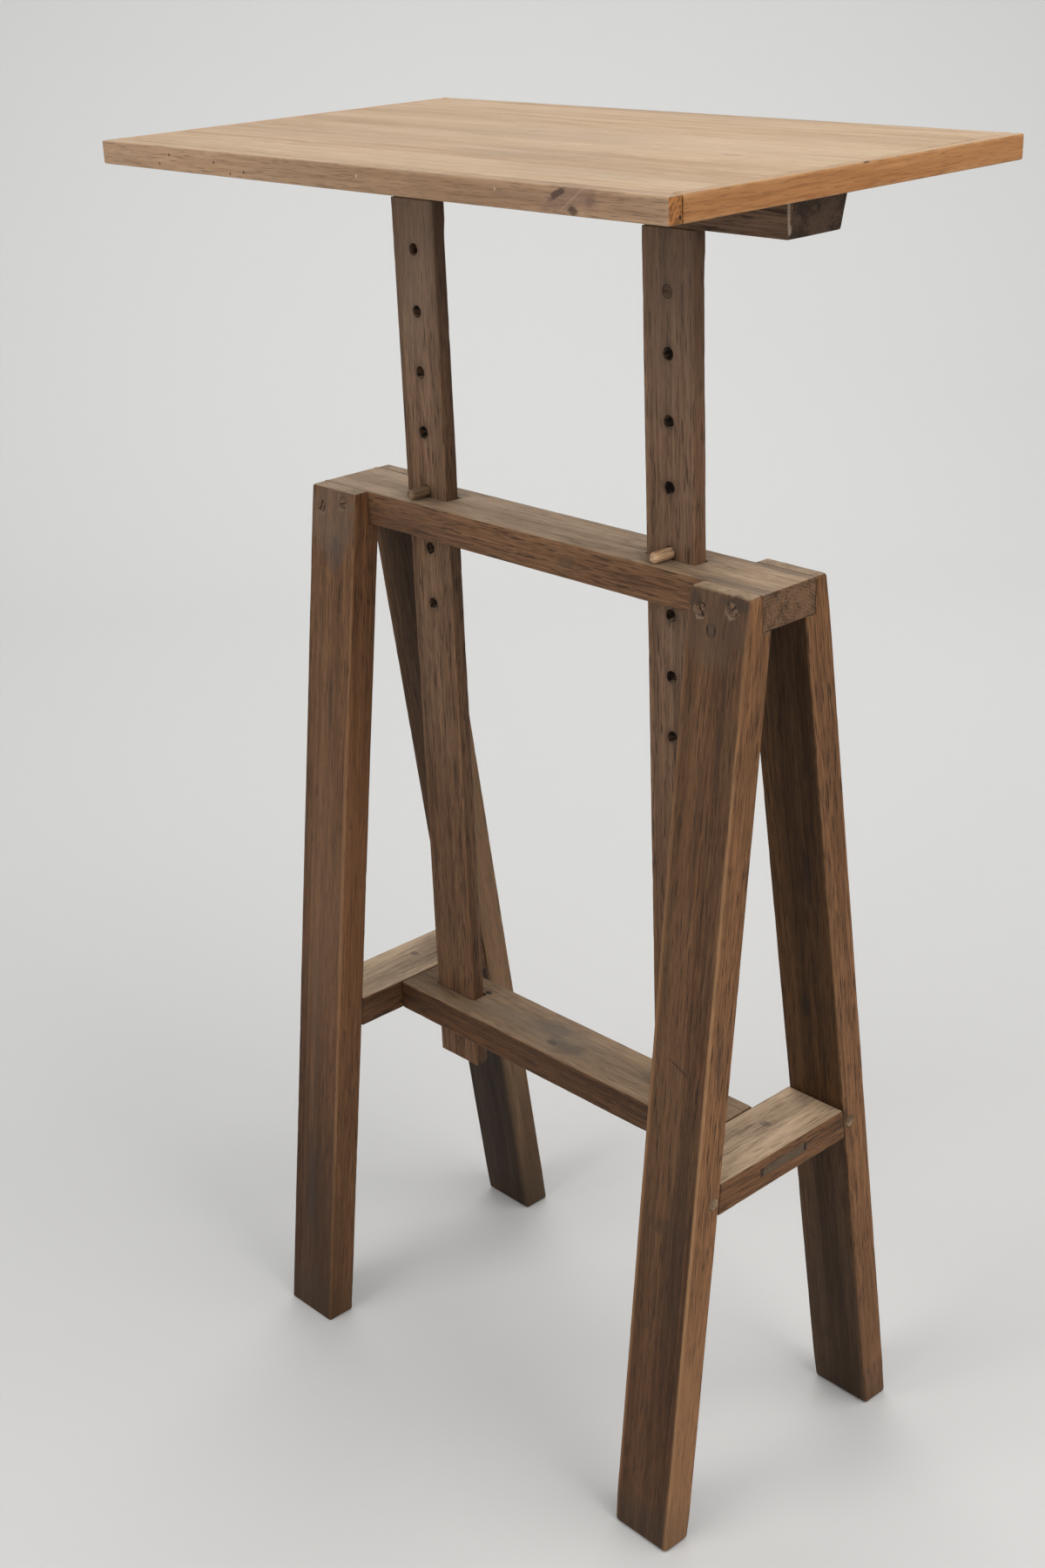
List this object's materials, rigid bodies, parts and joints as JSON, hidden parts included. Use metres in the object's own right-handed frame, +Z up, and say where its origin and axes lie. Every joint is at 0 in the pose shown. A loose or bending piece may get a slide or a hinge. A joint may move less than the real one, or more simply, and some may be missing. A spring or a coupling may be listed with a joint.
{
  "type": "height-adjustable work stand",
  "caption": "Wooden studio stand: a flat rectangular top on pegged posts that slide up and down through a splayed-leg trestle.",
  "frame": {"origin": "on the floor, under the middle of the trestle and of the top", "axes": "+X along the top's long side, to the right seen from the front; +Y to the back; +Z up. The pegs stick out to the front"},
  "size_m": [0.616, 0.364, 1.0988],
  "materials": {
    "frame_wood": "worn, dusty brown",
    "dark_wood": "worn dark brown",
    "top_wood": "stained light tan",
    "lipping_wood": "worn brown",
    "peg_wood": "bare light tan",
    "rusty_steel": "rusty"
  },
  "bodies": {
    "trestle": {"top_rail": "frame_wood", "front_left_leg": "frame_wood", "front_right_leg": "frame_wood", "back_left_leg": "frame_wood", "back_right_leg": "frame_wood", "left_cross_rail": "frame_wood", "right_cross_rail": "frame_wood", "stretcher": "frame_wood", "front_left_leg_screw_1": "rusty_steel", "front_left_leg_screw_2": "rusty_steel", "front_right_leg_screw_1": "rusty_steel", "front_right_leg_screw_2": "rusty_steel", "back_left_leg_screw_1": "rusty_steel", "back_left_leg_screw_2": "rusty_steel", "back_right_leg_screw_1": "rusty_steel", "back_right_leg_screw_2": "rusty_steel", "front_left_leg_pin": "peg_wood", "front_right_leg_pin": "peg_wood", "back_left_leg_pin": "peg_wood", "back_right_leg_pin": "peg_wood", "left_front_wedge": "peg_wood", "left_back_wedge": "peg_wood", "right_front_wedge": "peg_wood", "right_back_wedge": "peg_wood"},
    "carriage": {"beam": "dark_wood", "left_post": "dark_wood", "right_post": "dark_wood", "left_beam_pin": "peg_wood", "right_beam_pin": "peg_wood", "post_hole_plug": "peg_wood", "top_panel": "top_wood", "front_lipping": "lipping_wood", "back_lipping": "lipping_wood", "left_lipping": "lipping_wood", "right_lipping": "lipping_wood", "beam_screw_1": "rusty_steel", "beam_screw_2": "rusty_steel", "beam_screw_3": "rusty_steel", "beam_screw_4": "rusty_steel"},
    "left_peg": {"left_peg": "peg_wood"},
    "right_peg": {"right_peg": "peg_wood"}
  },
  "joints": [
    {"name": "height_slide", "type": "slide", "parent": "trestle", "child": "carriage", "axis": [0, 0, 1], "range_m": [0, 0.1]},
    {"name": "left_peg_slide", "type": "slide", "parent": "carriage", "child": "left_peg", "axis": [0, -1, 0], "range_m": [0, 0.03]},
    {"name": "right_peg_slide", "type": "slide", "parent": "carriage", "child": "right_peg", "axis": [0, -1, 0], "range_m": [0, 0.03]}
  ]
}
